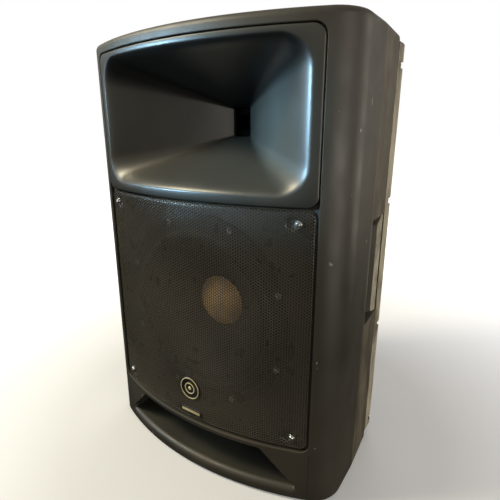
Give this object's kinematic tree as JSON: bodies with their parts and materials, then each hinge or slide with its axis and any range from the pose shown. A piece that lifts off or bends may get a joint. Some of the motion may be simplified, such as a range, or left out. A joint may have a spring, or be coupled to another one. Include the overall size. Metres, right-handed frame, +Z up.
{
  "type": "pa speaker",
  "caption": "Powered two-way loudspeaker in a moulded cabinet with a bowed grille, wide horn, slot port, side grips and a rear control panel.",
  "frame": {"origin": "on the floor under the centre of the cabinet's bounding box", "axes": "+Z up, the bowed front with the horn and grille faces -Y, +X is the cabinet's left side as seen from behind the front"},
  "size_m": [0.448, 0.366, 0.665],
  "materials": {
    "shell_plastic": "textured, warm black",
    "horn_plastic": "satin, warm black",
    "grille_steel": "perforated sheet, powder coated black",
    "badge_black": "gloss black",
    "badge_gold": "pale gold plating",
    "trim_plastic": "satin black",
    "screw_steel": "zinc plated",
    "black_screw_steel": "black oxide",
    "rubber": "soft black",
    "brass": "turned",
    "basket_steel": "pressed, painted black",
    "cone_paper": "treated fibre, dark",
    "dust_cap_paper": "treated fibre, dark brown",
    "spider_cloth": "resin-dipped cloth",
    "coil_copper": "copper wire on a brown former",
    "plate_steel": "zinc plated",
    "ferrite": "dark sintered",
    "diaphragm_metal": "thin formed sheet",
    "panel_paint": "fine-textured black paint",
    "heat_sink_aluminium": "black anodised",
    "circuit_board": "green solder mask",
    "transformer_wrap": "amber tape over copper",
    "capacitor_sleeve": "shrink sleeve",
    "socket_plastic": "glass-filled nylon, black",
    "latch_steel": "nickel plated",
    "knob_plastic": "soft-touch black",
    "rocker_plastic": "gloss black",
    "lamp_lens": "diffused green",
    "lead_insulation": "red and black jackets"
  },
  "bodies": {
    "cabinet": {"front_shell": "shell_plastic", "rear_shell": "shell_plastic", "shell_seal": "rubber", "shell_screws": "black_screw_steel", "horn_panel": "horn_plastic", "horn_screws": "black_screw_steel", "grille": "grille_steel", "grille_screws": "screw_steel", "badge_disc": "badge_black", "badge_emblem": "badge_gold", "name_bar": "badge_black", "port_duct": "trim_plastic", "handle_cup_left": "trim_plastic", "handle_cup_right": "trim_plastic", "pole_socket": "trim_plastic", "pole_socket_screws": "black_screw_steel", "rubber_feet": "rubber", "rigging_inserts": "brass", "woofer_basket": "basket_steel", "woofer_gasket": "rubber", "woofer_surround": "rubber", "woofer_spider": "spider_cloth", "woofer_top_plate": "plate_steel", "woofer_magnet": "ferrite", "woofer_back_plate": "plate_steel", "woofer_screws": "black_screw_steel", "woofer_terminals": "trim_plastic", "driver_magnet": "ferrite", "driver_rear_cap": "trim_plastic", "driver_gasket": "rubber", "driver_bolts": "black_screw_steel", "amp_panel": "panel_paint", "amp_gasket": "rubber", "amp_screws": "black_screw_steel", "heat_sink": "heat_sink_aluminium", "amp_cover": "plate_steel", "main_circuit_board": "circuit_board", "input_circuit_board": "circuit_board", "power_transformer": "transformer_wrap", "capacitors": "capacitor_sleeve", "xlr_sockets": "socket_plastic", "jack_sockets": "socket_plastic", "ac_inlet": "socket_plastic", "fuse_holder": "socket_plastic", "potentiometers": "latch_steel", "rocker_frame": "socket_plastic", "status_lamps": "lamp_lens", "speaker_leads": "lead_insulation"},
    "level_knob_1": {"level_knob_1": "knob_plastic"},
    "level_knob_2": {"level_knob_2": "knob_plastic"},
    "low_knob": {"low_knob": "knob_plastic"},
    "high_knob": {"high_knob": "knob_plastic"},
    "power_rocker": {"power_rocker": "rocker_plastic"},
    "low_cut_button": {"low_cut_button": "knob_plastic"},
    "xlr_latch_1": {"xlr_latch_1": "latch_steel"},
    "xlr_latch_2": {"xlr_latch_2": "latch_steel"},
    "woofer_cone": {"woofer_cone": "cone_paper", "woofer_dust_cap": "dust_cap_paper", "voice_coil": "coil_copper"},
    "driver_diaphragm": {"driver_diaphragm": "diaphragm_metal"}
  },
  "joints": [
    {"name": "level_knob_1_turn", "type": "hinge", "parent": "cabinet", "child": "level_knob_1", "pos_m": [-0.078, 0.1615, 0.33], "axis": [0, -1, 0], "range_deg": [-150, 150]},
    {"name": "level_knob_2_turn", "type": "hinge", "parent": "cabinet", "child": "level_knob_2", "pos_m": [-0.03, 0.1615, 0.33], "axis": [0, -1, 0], "range_deg": [-150, 150]},
    {"name": "low_knob_turn", "type": "hinge", "parent": "cabinet", "child": "low_knob", "pos_m": [0.018, 0.1615, 0.33], "axis": [0, -1, 0], "range_deg": [-150, 150]},
    {"name": "high_knob_turn", "type": "hinge", "parent": "cabinet", "child": "high_knob", "pos_m": [0.066, 0.1615, 0.33], "axis": [0, -1, 0], "range_deg": [-150, 150]},
    {"name": "power_rocker_tip", "type": "hinge", "parent": "cabinet", "child": "power_rocker", "pos_m": [0.05, 0.1585, 0.198], "axis": [1, 0, 0], "range_deg": [0, 18]},
    {"name": "low_cut_press", "type": "slide", "parent": "cabinet", "child": "low_cut_button", "axis": [0, -1, 0], "range_m": [0, 0.003], "stiffness_N_per_m": 300},
    {"name": "xlr_latch_1_press", "type": "slide", "parent": "cabinet", "child": "xlr_latch_1", "axis": [0, -1, 0], "range_m": [0, 0.0025], "stiffness_N_per_m": 300},
    {"name": "xlr_latch_2_press", "type": "slide", "parent": "cabinet", "child": "xlr_latch_2", "axis": [0, -1, 0], "range_m": [0, 0.0025], "stiffness_N_per_m": 300},
    {"name": "woofer_excursion", "type": "slide", "parent": "cabinet", "child": "woofer_cone", "axis": [0, -1, 0], "range_m": [-0.005, 0.005], "stiffness_N_per_m": 6000, "deforming": ["woofer_surround", "woofer_spider"]},
    {"name": "diaphragm_excursion", "type": "slide", "parent": "cabinet", "child": "driver_diaphragm", "axis": [0, -1, 0], "range_m": [-0.0003, 0.0003], "stiffness_N_per_m": 6000}
  ]
}
